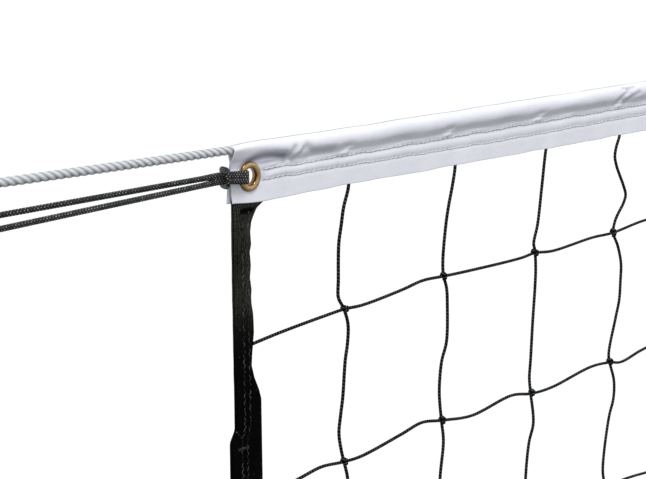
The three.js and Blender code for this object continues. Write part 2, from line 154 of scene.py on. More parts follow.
def spline(points, step):
    """A smooth line through the points (centripetal Catmull-Rom), sampled about every step metres."""
    p = np.array(points, dtype=float)
    p = np.vstack([2 * p[0] - p[1], p, 2 * p[-1] - p[-2]])
    out = []
    for i in range(1, len(p) - 2):
        knots = [0.0]
        for k in range(3):
            knots.append(knots[-1] + max(np.linalg.norm(p[i + k] - p[i + k - 1]), 1e-9) ** 0.5)
        t0, t1, t2, t3 = knots
        count = max(1, int(np.ceil(np.linalg.norm(p[i + 1] - p[i]) / step)))
        t = np.linspace(t1, t2, count, endpoint=False)[:, None]
        a1 = (t1 - t) / (t1 - t0) * p[i - 1] + (t - t0) / (t1 - t0) * p[i]
        a2 = (t2 - t) / (t2 - t1) * p[i] + (t - t1) / (t2 - t1) * p[i + 1]
        a3 = (t3 - t) / (t3 - t2) * p[i + 1] + (t - t2) / (t3 - t2) * p[i + 2]
        b1 = (t2 - t) / (t2 - t0) * a1 + (t - t0) / (t2 - t0) * a2
        b2 = (t3 - t) / (t3 - t1) * a2 + (t - t1) / (t3 - t1) * a3
        out.append((t2 - t) / (t2 - t1) * b1 + (t - t1) / (t2 - t1) * b2)
    out.append(p[-2][None, :])
    return np.vstack(out)


def length_along(path):
    return np.concatenate([[0.0], np.cumsum(np.linalg.norm(np.diff(path, axis=0), axis=1))])


def carried_frames(path):
    """Two directions across the path at each point, carried along it without twisting."""
    tangent = np.gradient(path, axis=0)
    tangent /= np.linalg.norm(tangent, axis=1)[:, None]
    across = np.zeros_like(path)
    first = np.cross(tangent[0], (0.0, 0.0, 1.0))
    if np.linalg.norm(first) < 1e-3:
        first = np.cross(tangent[0], (1.0, 0.0, 0.0))
    across[0] = first / np.linalg.norm(first)
    for i in range(len(path) - 1):
        a = across[i] - tangent[i + 1] * np.dot(across[i], tangent[i + 1])
        across[i + 1] = a / np.linalg.norm(a)
    return across, np.cross(tangent, across)


def sweep(path, radius, sides):
    """A round skin about the path, capped at both ends. radius is a number or an array (points, sides)."""
    u, v = carried_frames(path)
    angle = np.arange(sides) / sides * 2 * np.pi
    r = np.broadcast_to(np.asarray(radius, dtype=float), (len(path), sides))[:, :, None]
    ring = np.cos(angle)[None, :, None] * u[:, None, :] + np.sin(angle)[None, :, None] * v[:, None, :]
    verts = (path[:, None, :] + r * ring).reshape(-1, 3)
    return verts, skin_faces(len(path), sides)


def cord_map(path, sides):
    """A cord's own coordinates at each face corner: turns around it, and metres along it."""
    run = length_along(path)
    low, high = np.broadcast_arrays(run[:-1, None], run[1:, None])
    near = np.broadcast_to(np.arange(sides) / sides, (len(path) - 1, sides))
    far = near + 1 / sides
    low, high = np.broadcast_to(low, near.shape), np.broadcast_to(high, near.shape)
    quads = np.stack([near, low, far, low, far, high, near, high], axis=-1).reshape(-1, 2)
    caps = np.repeat([[0, run[0]], [0, run[-1]]], sides, axis=0)
    return np.vstack([quads, caps])


def lay_map(piece, corners):
    layer = piece.data.uv_layers.new(name="cord")
    layer.data.foreach_set("uv", np.asarray(corners, dtype=np.float32).ravel())


def gather(parts):
    """Joins (verts, faces) lists into one."""
    verts, faces, start = [], [], 0
    for v, f in parts:
        verts.append(np.asarray(v))
        faces.extend([[k + start for k in face] for face in f])
        start += len(v)
    return np.vstack(verts), faces


def turned(profile, segments, centre):
    """A closed (radius, along) profile turned about the line along Y through centre."""
    profile = np.array(profile)
    angle = np.arange(segments)[:, None] / segments * 2 * np.pi
    radius, run = profile[:, 0], profile[:, 1]
    verts = np.stack([np.cos(angle) * radius, run + 0 * angle, -np.sin(angle) * radius], axis=-1)
    verts = verts.reshape(-1, 3) + np.array(centre)
    count = len(profile)
    faces = []
    for i in range(segments):
        j = (i + 1) % segments
        for k in range(count):
            m = (k + 1) % count
            faces.append([i * count + k, i * count + m, j * count + m, j * count + k])
    return verts, faces


def wander(x, seed, wavelengths):
    """Smooth seeded noise along x, about -1 to 1."""
    rng = random.Random(seed)
    total = np.zeros_like(np.asarray(x, dtype=float))
    for wave in wavelengths:
        total += np.sin(2 * np.pi * np.asarray(x) / wave + rng.uniform(0, 2 * np.pi))
    return total / len(wavelengths)


def bump(x, middle, width):
    return np.exp(-((np.asarray(x) - middle) / width) ** 2)


def smoothstep(x, low, high):
    t = np.clip((np.asarray(x) - low) / (high - low), 0, 1)
    return t * t * (3 - 2 * t)


# ---- Materials ----
def principled(name, color, roughness, metallic=0.0, sheen=0.0, specular=0.5):
    material = bpy.data.materials.new(name)
    material.use_nodes = True
    shader = material.node_tree.nodes["Principled BSDF"]
    shader.inputs["Base Color"].default_value = (*color, 1)
    shader.inputs["Roughness"].default_value = roughness
    shader.inputs["Metallic"].default_value = metallic
    shader.inputs["Sheen Weight"].default_value = sheen
    shader.inputs["Specular IOR Level"].default_value = specular
    return material, material.node_tree.nodes, material.node_tree.links, shader


def object_noise(nodes, links, scale, detail):
    place = nodes.new("ShaderNodeTexCoord")
    noise = nodes.new("ShaderNodeTexNoise")
    noise.inputs["Scale"].default_value = scale
    noise.inputs["Detail"].default_value = detail
    links.new(place.outputs["Object"], noise.inputs["Vector"])
    return noise.outputs["Fac"]


def painted(nodes, name):
    """Reads a number that paint() stored."""
    reader = nodes.new("ShaderNodeAttribute")
    reader.attribute_name = name
    return reader.outputs["Fac"]


def ramp(nodes, links, source, stops):
    node = nodes.new("ShaderNodeValToRGB")
    elements = node.color_ramp.elements
    while len(elements) < len(stops):
        elements.new(0.5)
    for element, (place, color) in zip(elements, stops):
        element.position = place
        element.color = (*color, 1)
    links.new(source, node.inputs["Fac"])
    return node.outputs["Color"]


def noise_ramp(nodes, links, scale, detail, stops):
    return ramp(nodes, links, object_noise(nodes, links, scale, detail), stops)


def maths(nodes, links, operation, *inputs):
    """One step of arithmetic on sockets and numbers."""
    node = nodes.new("ShaderNodeMath")
    node.operation = operation
    for socket, value in zip(node.inputs, inputs):
        if isinstance(value, float):
            socket.default_value = value
        else:
            links.new(value, socket)
    return node.outputs["Value"]


def mixed(nodes, links, a, b, factor, kind="MULTIPLY"):
    node = nodes.new("ShaderNodeMix")
    node.data_type = "RGBA"
    node.blend_type = kind
    if isinstance(factor, float):
        node.inputs["Factor"].default_value = factor
    else:
        links.new(factor, node.inputs["Factor"])
    links.new(a, node.inputs["A"])
    links.new(b, node.inputs["B"])
    return node.outputs["Result"]


def add_bump(nodes, links, shader, height, strength, distance):
    node = nodes.new("ShaderNodeBump")
    node.inputs["Strength"].default_value = strength
    node.inputs["Distance"].default_value = distance
    links.new(height, node.inputs["Height"])
    links.new(node.outputs["Normal"], shader.inputs["Normal"])


def grey(value):
    return (value, value, value)


def vinyl_material():
    """Soft white vinyl, with painted shade in its creases and needle holes, under its stitches and hem, near
    its ends and along its top edge.
    """
    material, nodes, links, shader = principled("white_vinyl", (0.82, 0.82, 0.89), 0.34, specular=0.4)
    color = noise_ramp(nodes, links, 28, 4, [(0.3, (0.78, 0.78, 0.84)), (0.7, (0.85, 0.85, 0.9))])
    # The painted shade stored on the headband darkens the colour here, towards a bluish grey.
    shade_tone = ramp(nodes, links, painted(nodes, "painted_shade"), [(0.0, grey(1)), (1.0, (0.2, 0.2, 0.25))])
    links.new(mixed(nodes, links, color, shade_tone, 1.0), shader.inputs["Base Color"])
    gloss = noise_ramp(nodes, links, 90, 3, [(0.3, grey(0.26)), (0.7, grey(0.42))])
    links.new(gloss, shader.inputs["Roughness"])
    add_bump(nodes, links, shader, object_noise(nodes, links, 150, 4), 0.3, 0.0008)
    return material


def strand_wave(nodes, links, around, along):
    """0 in the grooves and 1 on the crowns of a cord's strands: waves around it, and waves a metre along."""
    place = nodes.new("ShaderNodeUVMap")
    place.uv_map = "cord"
    split = nodes.new("ShaderNodeSeparateXYZ")
    links.new(place.outputs["UV"], split.inputs["Vector"])
    turn = maths(nodes, links, "MULTIPLY", split.outputs["X"], 2 * math.pi * around)
    phase = maths(nodes, links, "MULTIPLY_ADD", split.outputs["Y"], 2 * math.pi * along, turn)
    wave = maths(nodes, links, "SINE", phase)
    return maths(nodes, links, "MULTIPLY_ADD", wave, 0.5, 0.5)


def thread_material(name, dark, light, low, high):
    """Sewing thread, dark to light between two levels of its noise."""
    material, nodes, links, shader = principled(name, light, 0.6, sheen=0.1, specular=0.1)
    links.new(noise_ramp(nodes, links, 400, 2, [(low, dark), (high, light)]), shader.inputs["Base Color"])
    return material


def rope_material():
    """Laid white rope: painted shade in the grooves between its strands, with fine yarns along each strand.
    """
    material, nodes, links, shader = principled(
        "white_rope", (0.74, 0.75, 0.78), 0.5, sheen=0.15, specular=0.35)
    # Painted shade: grey in the grooves between the strands, light on their crowns.
    stops = [(0.0, (0.34, 0.35, 0.36)), (0.45, (0.58, 0.59, 0.6)), (1.0, (0.69, 0.7, 0.7))]
    base = ramp(nodes, links, painted(nodes, "strand"), stops)
    yarn = strand_wave(nodes, links, 15, 900)
    fibre = ramp(nodes, links, yarn, [(0.1, (0.84, 0.85, 0.87)), (0.6, grey(1))])
    links.new(mixed(nodes, links, base, fibre, 0.55), shader.inputs["Base Color"])
    add_bump(nodes, links, shader, yarn, 0.6, 0.00025)
    return material


def braid_material():
    """Black braid: two sets of strands crossing over, with painted shade between them and painted highlights
    on the crowns.
    """
    material, nodes, links, shader = principled(
        "black_braid", (0.012, 0.012, 0.012), 0.5, sheen=0.05, specular=0.3)
    around, along_metre = 4, 480
    waves = [strand_wave(nodes, links, around, hand * along_metre) for hand in (1, -1)]
    crossing = maths(nodes, links, "MULTIPLY", *waves)
    # Painted highlights on the crowns where the strands cross, broken up by noise; painted shade between
    # them.
    painted_glint = maths(nodes, links, "MULTIPLY", crossing, object_noise(nodes, links, 280, 3))
    color = ramp(nodes, links, painted_glint, [(0.0, grey(0.002)), (0.2, (0.009, 0.0095, 0.007)),
                                       (0.36, (0.05, 0.052, 0.045)), (0.52, (0.45, 0.45, 0.42))])
    links.new(color, shader.inputs["Base Color"])
    add_bump(nodes, links, shader, crossing, 0.8, 0.0004)
    return material


def net_cord_material():
    """Twisted twine, near black, with a painted highlight along the crown of its twist."""
    material, nodes, links, shader = principled("net_cord", (0.02, 0.02, 0.02), 0.6, specular=0.06)
    twist = strand_wave(nodes, links, 1, 430)
    # Painted highlight: a narrow light line along the crown of the twist, near black elsewhere.
    color = ramp(nodes, links, twist, [(0.4, grey(0.001)), (0.75, grey(0.008)), (0.98, grey(0.11))])
    cloud = noise_ramp(nodes, links, 160, 3, [(0.3, grey(0.35)), (0.65, grey(1))])
    links.new(mixed(nodes, links, color, cloud, 1.0), shader.inputs["Base Color"])
    add_bump(nodes, links, shader, twist, 0.8, 0.0003)
    return material


def webbing_material():
    """Black ribbed webbing with pale specks of lint, lighter along its ribs and darker in its folds by
    painted light and shade.
    """
    material, nodes, links, shader = principled("black_webbing", (0.008, 0.009, 0.008), 0.7, specular=0.03)
    # The painted light and shade stored by make_webbing sets the tone here.
    stops = [(0.0, grey(0.001)), (0.4, (0.011, 0.012, 0.009)), (1.0, (0.18, 0.19, 0.15))]
    base = ramp(nodes, links, painted(nodes, "strand"), stops)
    cloud = noise_ramp(nodes, links, 45, 4, [(0.35, grey(0.55)), (0.65, grey(1))])
    weave = noise_ramp(nodes, links, 1500, 1, [(0.38, grey(0.3)), (0.62, grey(1))])
    color = mixed(nodes, links, mixed(nodes, links, base, cloud, 1.0), weave, 1.0)
    lint = noise_ramp(nodes, links, 520, 1, [(0.72, grey(0)), (0.78, grey(1))])
    pale = nodes.new("ShaderNodeRGB")
    pale.outputs[0].default_value = (0.05, 0.05, 0.048, 1)
    links.new(mixed(nodes, links, color, pale.outputs[0], lint, "MIX"), shader.inputs["Base Color"])
    add_bump(nodes, links, shader, object_noise(nodes, links, 1400, 2), 0.5, 0.0002)
    return material


def hard_material(name, color, dark, roughness, metallic, scale, strength):
    """A hard surface with cloudy colour, uneven gloss and a fine texture."""
    material, nodes, links, shader = principled(name, color, roughness, metallic)
    links.new(noise_ramp(nodes, links, scale, 5, [(0.3, dark), (0.7, color)]), shader.inputs["Base Color"])
    stops = [(0.3, grey(max(roughness - 0.12, 0.05))), (0.7, grey(roughness + 0.14))]
    links.new(noise_ramp(nodes, links, scale * 3, 4, stops), shader.inputs["Roughness"])
    add_bump(nodes, links, shader, object_noise(nodes, links, scale * 12, 3), strength, 0.0004)
    return material


def brass_material():
    """Polished brass, with a painted reflection: dark brown towards the eyelet's edges, bright on its crown.
    """
    material, nodes, links, shader = principled("brass", (0.66, 0.45, 0.2), 0.2, metallic=1.0)
    stops = [(0.0, (0.035, 0.014, 0.005)), (0.3, (0.3, 0.15, 0.045)), (0.75, (0.66, 0.4, 0.14)),
             (1.0, (0.9, 0.66, 0.34))]
    # Painted reflection: the crown number runs from dark at the rims to bright on the crown.
    painted_reflection = ramp(nodes, links, painted(nodes, "crown"), stops)
    cloud = noise_ramp(nodes, links, 300, 5, [(0.3, grey(0.72)), (0.6, grey(1))])
    links.new(mixed(nodes, links, painted_reflection, cloud, 1.0), shader.inputs["Base Color"])
    gloss = noise_ramp(nodes, links, 900, 4, [(0.3, grey(0.14)), (0.7, grey(0.3))])
    links.new(gloss, shader.inputs["Roughness"])
    return material


# By slot: name, colour, darker colour, roughness, metallic, scale of the clouds, depth of the fine texture.
HARD_LOOKS = {
    "galvanised": ("galvanised_steel", (0.62, 0.64, 0.66), (0.42, 0.44, 0.46), 0.32, 1.0, 60, 0.1),
    "post_paint": ("black_paint", (0.03, 0.032, 0.036), (0.018, 0.019, 0.022), 0.36, 0.0, 25, 0.2),
    "cast_iron": ("cast_iron", (0.035, 0.036, 0.038), (0.015, 0.015, 0.016), 0.55, 0.3, 30, 0.6),
    "cast_alloy": ("cast_alloy", (0.55, 0.56, 0.58), (0.38, 0.39, 0.41), 0.38, 1.0, 80, 0.35),
    "rubber": ("rubber", (0.022, 0.022, 0.022), (0.011, 0.011, 0.011), 0.75, 0.0, 70, 0.5),
    "nylon": ("nylon", (0.02, 0.02, 0.021), (0.013, 0.013, 0.014), 0.45, 0.0, 90, 0.25),
}
MATERIALS = {}


def make_materials():
    MATERIALS["vinyl"] = vinyl_material()
    MATERIALS["thread"] = thread_material("white_thread", grey(0.72), (0.88, 0.88, 0.92), 0.3, 0.6)
    MATERIALS["tape_thread"] = thread_material("grey_thread", grey(0.002), (0.13, 0.133, 0.128), 0.46, 0.62)
    MATERIALS["white_rope"] = rope_material()
    MATERIALS["tie_braid"] = braid_material()
    MATERIALS["net_cord"] = net_cord_material()
    MATERIALS["webbing"] = webbing_material()
    MATERIALS["brass"] = brass_material()
    for slot, look in HARD_LOOKS.items():
        MATERIALS[slot] = hard_material(*look)


def finish_piece(piece, material, slot, *nodes, body=NET_BODY):
    piece.data.materials.append(MATERIALS[material])
    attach(piece, body)
    if nodes:
        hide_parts(*nodes)
    return piece


# ---- Tie cords ----
def tie_route(side, grommet_x, grommet_z, half_thick, edge, rise, drop):
    """The cord's line: round the post, hitched through the grommet, and back round the post's other side.
    The hitch is drawn a little tighter than in the CAD source. Worked in millimetres, as (out from the
    grommet, y, spread from the hitch's centre line)."""
    mm = 1 / MM
    lie = (half_thick + 2 * GAP + GROMMET_THICK + TIE_RADIUS) * mm + 0.2
    across = (POST_X - grommet_x) * mm
    wrap = (POST_RADIUS + 2 * GAP + TIE_RADIUS) * mm
    edge = edge * mm
    bight = edge + 12
    apart = TIE_RADIUS * mm + 0.05

    def leg(sign):
        angles = [math.radians(degrees) for degrees in (8, 24, 40, 56, 72, 88)]
        points = [(across + wrap * math.cos(a), sign * wrap * math.sin(a), 0) for a in angles]
        middle, start = (-0.56 * wrap, -lie - 1) if sign < 0 else (0.39 * wrap, -lie + 1.2)
        return points + [(across / 2, middle, sign * 0.6), (bight + 18, start, sign * apart)]

    def hitch(sign):
        points = [(bight - 1, -lie, apart), (10, -lie, apart), (6.6, -lie, apart), (4.3, -lie + 1, apart),
                  (3.3, -lie + 3, apart), (3.1, 0, apart), (3.3, lie - 3, apart), (4.3, lie - 1, apart),
                  (6.6, lie, apart), (10, lie, apart), (edge, lie, apart + 0.4), (edge + 4.5, lie - 2, 3.9),
                  (bight - 4.8, -1.5, 4.5), (bight - 3.2, -lie - 1.2, 4.2), (bight - 2.2, -lie - 3.2, 2.5)]
        return [(out, y, sign * spread) for out, y, spread in points]

    def level(out):
        if out < bight:
            return rise * out / bight
        return rise - (rise + drop) * min((out - bight) / (across - bight), 1)

    route = leg(-1) + hitch(-1) + [(bight - 1.6, -lie - 3.5, 0)] + hitch(1)[::-1] + leg(1)[::-1]
    return [(side * (grommet_x + out * MM), y * MM, grommet_z + (level(out) + spread) * MM)
            for out, y, spread in route]


def braided(name, path, radius, squashed=None):
    """A braided cord with small crowns. squashed holds, for each point, how far it is pressed flat."""
    sides, picks, pitch, depth = 20, 4, 2.1 * MM, 0.13 * MM
    angle = np.arange(sides) / sides * 2 * np.pi
    run = length_along(path)[:, None] / pitch
    turn = angle[None, :] / (2 * np.pi) * picks
    height = 0.25 * (1 + np.sin(2 * np.pi * (turn + run))) * (1 + np.sin(2 * np.pi * (turn - run)))
    skin = radius + depth * (height - 0.4)
    if squashed is not None:
        u, v = carried_frames(path)
        upward = np.cos(angle)[None, :] * u[:, 2:] + np.sin(angle)[None, :] * v[:, 2:]
        skin = skin * (1 + squashed[:, None] * (0.75 * upward ** 2 - 0.25))
    verts, faces = sweep(path, skin, sides)
    piece = new_object(name, verts, faces)
    lay_map(piece, cord_map(path, sides))
    return piece


def knot_line(centre, size, side):
    """An overhand knot's line with two short tails hanging down, lying against the post's outer side."""
    t = np.linspace(0.12, 0.88, 26) * 2 * np.pi
    loop = np.stack([0.35 * np.sin(3 * t), (np.sin(t) + 2 * np.sin(2 * t)) / 2.6,
                     (np.cos(t) - 2 * np.cos(2 * t)) / 2.6], axis=1) * size
    loop[:, 0] *= side
    points = [tuple(p) for p in loop + np.array(centre)]
    (x, y, z), (end_x, end_y, end_z) = points[0], points[-1]
    tail = 5.5 * size
    first_tail = [(x, y - 0.4 * size, z - tail), (x, y - 0.3 * size, z - tail / 2)]
    last_tail = [(end_x, end_y + 0.3 * size, end_z - tail * 0.45),
                 (end_x, end_y + 0.5 * size, end_z - tail * 0.8)]
    return first_tail + points + last_tail


# How the ties lie at each corner: from the grommet to the net's end, then the millimetres by which they are
# above the grommet at the hitch and below it at the post.
TIE_LIES = {"upper": (TOP_GROMMET_IN, 2.6, 4.4), "lower": (LOW_GROMMET_IN, 0, 2)}
TIE_KNOT_SIZE = 4.6 * MM


def make_tie_cords():
    for (label, side), level in itertools.product(SIDES, CORNERS):
        name = f"{label}_{level}_tie"
        x, z, half_thick = CORNERS[level]
        route = tie_route(side, x, z, half_thick, *TIE_LIES[level])
        path = spline(route, 0.5 * MM)
        out = (side * path[:, 0] - x) / MM
        squashed = smoothstep(out, -1, 3) * (1 - 0.6 * smoothstep(out, 6, 20)) * (1 - smoothstep(out, 26, 45))
        cord = braided(f"{name}_cord_braided", path, TIE_RADIUS, squashed)
        finish_piece(cord, "tie_braid", "tie_braid", f"{name}_cord")
        middle = np.array(route[0]) * 0.5 + np.array(route[-1]) * 0.5
        middle[0] += side * 2.5 * MM
        knot = braided(f"{name}_knot", spline(knot_line(middle, TIE_KNOT_SIZE, side), 0.6 * MM), TIE_RADIUS)
        finish_piece(knot, "tie_braid", "tie_braid")


# ---- Top rope ----
GROOVE_SHARE = 0.42                      # how deep the grooves are beside those of three round strands
ROPE_SWELL = 0.3 * MM                    # how much fatter the rope is where nothing presses it


def half_rope_route():
    """Half the rope, as in the CAD source: mid-net, over the sheave, down the post and round the cleat."""
    points = [(2.5, 0, ROPE_Z), (NET_END - 0.3, 0, ROPE_Z), (NET_END - 0.02, 0, ROPE_Z)]
    for beyond in (0.06, POST_OFFSET - 0.06, POST_OFFSET - 0.015):
        points.append((NET_END + beyond, 0, ROPE_Z + ROPE_RISE * beyond / POST_OFFSET))
    for degrees in (90, 67.5, 45, 22.5, 0):
        angle = math.radians(degrees)
        points.append((POST_X + SHEAVE_WRAP * math.cos(angle), 0, SHEAVE_Z + SHEAVE_WRAP * math.sin(angle)))
    from_tube = [(-6.7, 0, 600), (-6.7, 0, 190), (-6.2, 0, 165), (-1.2, 0, 128), (4.5, 3, 98), (7, 11, 55)]
    turns = 10
    for step in range(turns + 1):
        angle = math.radians(30 - 45 * step)
        out = 7.3 + (13.6 - 7.3) * step / turns
        from_tube.append((out, 14 * math.cos(angle), 14 * math.sin(angle)))
    from_tube += [(12, 9, -50), (9, 8, -100), (8, 8, -150)]
    for out, y, up in from_tube:
        points.append((POST_X + POST_RADIUS + out * MM, y * MM, CLEAT_Z + up * MM))
    return points


def make_rope():
    """Three strands laid up, plain where the headband hides it."""
    half = half_rope_route()
    hidden = 3
    shown = spline(half[hidden - 1:], 0.9 * MM)
    inside = np.linspace(0, NET_END - 0.02, 60, endpoint=False)[:, None] * np.array([[1.0, 0, 0]])
    inside = inside + np.array([[0, 0, ROPE_Z]])
    right = np.vstack([inside, shown])
    left = right[:0:-1] * np.array([-1.0, 1, 1])
    path = np.vstack([left, right])
    sides = 24
    lay = 15.5 * MM
    angle = np.arange(sides) / sides * 2 * np.pi
    turn = angle[None, :] - 2 * np.pi * length_along(path)[:, None] / lay
    strand_radius = ROPE_RADIUS / (1 + 2 / math.sqrt(3))
    centre = ROPE_RADIUS - strand_radius
    phase = (turn % (2 * np.pi / 3)) - np.pi / 3
    round_strand = np.sqrt(np.maximum(strand_radius ** 2 - (centre * np.sin(phase)) ** 2, 0))
    radius = centre * np.cos(phase) + round_strand
    out = np.abs(path[:, 0])
    in_sight = (out > NET_END - 0.03)[:, None]
    radius = np.where(in_sight, ROPE_RADIUS - GROOVE_SHARE * (ROPE_RADIUS - radius), ROPE_RADIUS)
    unpressed = smoothstep(out, NET_END - 0.03, NET_END - 0.01)
    unpressed = unpressed * (1 - smoothstep(out, POST_X - 0.12, POST_X - 0.06))
    verts, faces = sweep(path, radius + ROPE_SWELL * unpressed[:, None], sides)
    rope = new_object("top_rope_laid", verts, faces)
    lay_map(rope, cord_map(path, sides))
    # Painted shade for the rope: 0 in the grooves between the strands, 1 on their crowns.
    paint(rope, "strand", np.clip((radius / ROPE_RADIUS - 0.89) / 0.11, 0, 1))
    finish_piece(rope, "white_rope", "white_rope", "top_rope")


# ---- Headband ----
THREAD_ROWS = (17.2, 23.2)              # stitch lines, millimetres below the top edge
STITCH = 4.5
THREAD_RADIUS = 0.2 * MM
HEM_HALF_WIDTH, HEM_HALF_HEIGHT = 4.8, 6.4
HEM_ARC = 142                            # degrees of the hem's round part down each face
FACE_HALF = 1.15                         # half the band's thickness below the hem, before its wrinkles
BAND_DEEP = 35.5
# Folds in the front, each a line of (distance from the net's end, depth), its width and its height, all in
# millimetres. A negative height is a groove. Most of the lines near the end began as points measured on the
# photograph, which a separate program turned into millimetres, and were then moved by eye. Where the others
# come from isn't known.
FRONT_CREASES = (
    (((10, 14), (13, 11.6), (19, 9.6), (25, 9), (33, 9.4), (42, 10.6)), 2.7, -2.5),
    (((21, 13.5), (28, 12.8), (34, 13.6)), 3.0, 0.7),
    (((43, 14), (47, 10.5), (50, 7)), 2.2, -1.1),
    (((50, 14), (54, 11), (57, 8.5)), 2.0, -0.8),
    (((49, 11), (53, 9)), 2.2, 0.9),
    (((60, 7), (66, 10.5), (84, 11.5)), 2.4, -1.0),
    (((25, 21), (31, 18), (38, 16.5)), 1.9, -0.45),
    (((402, 2.5), (410, 3.2), (418, 2.6)), 0.9, -0.9),
    (((394, 13), (400, 9), (409, 5)), 1.6, -1.1),
    (((406, 13), (414, 9.5), (424, 7)), 1.8, -0.9),
    (((400, 12), (407, 8.5)), 2.0, 0.8),
)
# How far the headband hangs below its straight lines, in millimetres, at distances from the nearer end. These
# were worked out from a program's measurements, in pixels, of how far the picture was from the photograph.
SAG_PLACES = (0, 28, 65, 111, 157, 260, 316, 408)
SAG_TOP = (0, 0.1, 0.4, 0.7, 0.7, 0.75, 0.9, 1.1)
SAG_UPPER_ROW = (0, 0.1, 0.3, 0.4, 0.5, 0.5, 0.6, 0.9)
SAG_LOWER_ROW = (0, 0.1, 0.3, 0.9, 1.6, 2.7, 2.8, 2.6)
SAG_LOW_EDGE = (0, 1.0, 0.1, 0.3, 1.0, 1.7, 2.3, 2.7)


def hem_stations():
    """(half width, depth below the top) down one face, in millimetres."""
    stations = []
    for step in range(15):
        angle = math.radians(HEM_ARC) * step / 14
        stations.append((HEM_HALF_WIDTH * math.sin(angle), HEM_HALF_HEIGHT * (1 - math.cos(angle))))
    neck_w, neck_d = stations[-1]
    for d in (12.0, 12.6, 13.3, 14.0, 14.7, 15.6, 16.3, 16.8, 17.2, 17.6, 18.1, 19, 20.2, 21.4, 22.3, 22.8,
              23.2, 23.6, 24.1, 25, 26.5, 28, 29.5, 31, 32.5, 34, 35, BAND_DEEP):
        fall = 1 - smoothstep(d, neck_d, 13.9)
        stations.append((float(FACE_HALF + (neck_w - FACE_HALF) * fall), d))
    return np.array(stations)


def along(u, d, points, width):
    """How near (u, d) lies to a line of points, 1 on it and falling to 0 over the width."""
    nearest = np.full(np.broadcast(u, d).shape, 1e9)
    for (ua, da), (ub, db) in zip(points, points[1:]):
        du, dd = ub - ua, db - da
        t = np.clip(((u - ua) * du + (d - da) * dd) / (du * du + dd * dd), 0, 1)
        nearest = np.minimum(nearest, (u - ua - t * du) ** 2 + (d - da - t * dd) ** 2)
    return np.exp(-nearest / width ** 2)


def band_face(u_left, u_near, d, w, front):
    """Half the band's thickness down one face: swelling, pinches over the net's cords, creases and stitches.
    u_left is the distance from the left end and u_near from the nearer end, both in millimetres."""
    seed = SEED + (1 if front else 7)
    round_part = 1 - smoothstep(d, 9, 14)
    valley = bump(d, 13.2, 3.2)
    flat_part = smoothstep(d, 14, 16)
    w = w * (1 + 0.09 * wander(u_left, seed, (83, 57, 141)) * round_part)
    w = w + valley * 0.7 * wander(u_left + 2 * d, seed + 1, (61, 37, 97))
    column = (u_left + 4.5) % (PITCH_X / MM)
    column = np.where(column > PITCH_X / MM / 2, column - PITCH_X / MM, column)
    lean = column - 0.9 * (14 - d)
    pull = 1.3 + 0.4 * wander(np.round(u_left / (PITCH_X / MM)), seed + 5, (3.1, 4.7))
    w = w + pull * (bump(lean, 0, 4.5) * bump(d, 14.2, 2.0) - 0.8 * bump(lean, -4, 6) * bump(d, 11, 2.2))
    w = w + 0.3 * bump(column, 0, 3.0) * flat_part
    w = w + flat_part * (0.22 * wander(u_left + 0.6 * d, seed + 2, (73, 47, 33)) + 0.1)
    needle = (u_left % STITCH) / STITCH
    hole = bump(np.minimum(needle, 1 - needle) * STITCH, 0, 0.8)
    stitched = smoothstep(u_near, 20, 26)
    for row in THREAD_ROWS:
        w = w - stitched * (0.4 + 0.4 * hole) * bump(d, row, 0.8)
    w = w + 0.35 * stitched * bump(d, sum(THREAD_ROWS) / 2, 1.8)
    if front:
        for points, width, height in FRONT_CREASES:
            w = w + height * along(u_near, d, points, width)
        w = np.maximum(w, 0.8)
    loose = 3.4
    rope_hug = np.sqrt(np.maximum(loose ** 2 - (d - loose) ** 2, 0))
    closing = np.clip(loose - 0.33 * (d - loose), 1.0, loose)
    at_end = np.where(d < loose, rope_hug, closing)
    collapsed = np.exp(-(u_near / 26) ** 2)
    w = np.where(d < 15, w * (1 - collapsed) + at_end * collapsed, w)
    near_grommet = bump(np.hypot(u_near - TOP_GROMMET_IN / MM, d - TOP_GROMMET_DROP / MM), 0, 9.5)
    return w * (1 - near_grommet) + near_grommet * 1.0


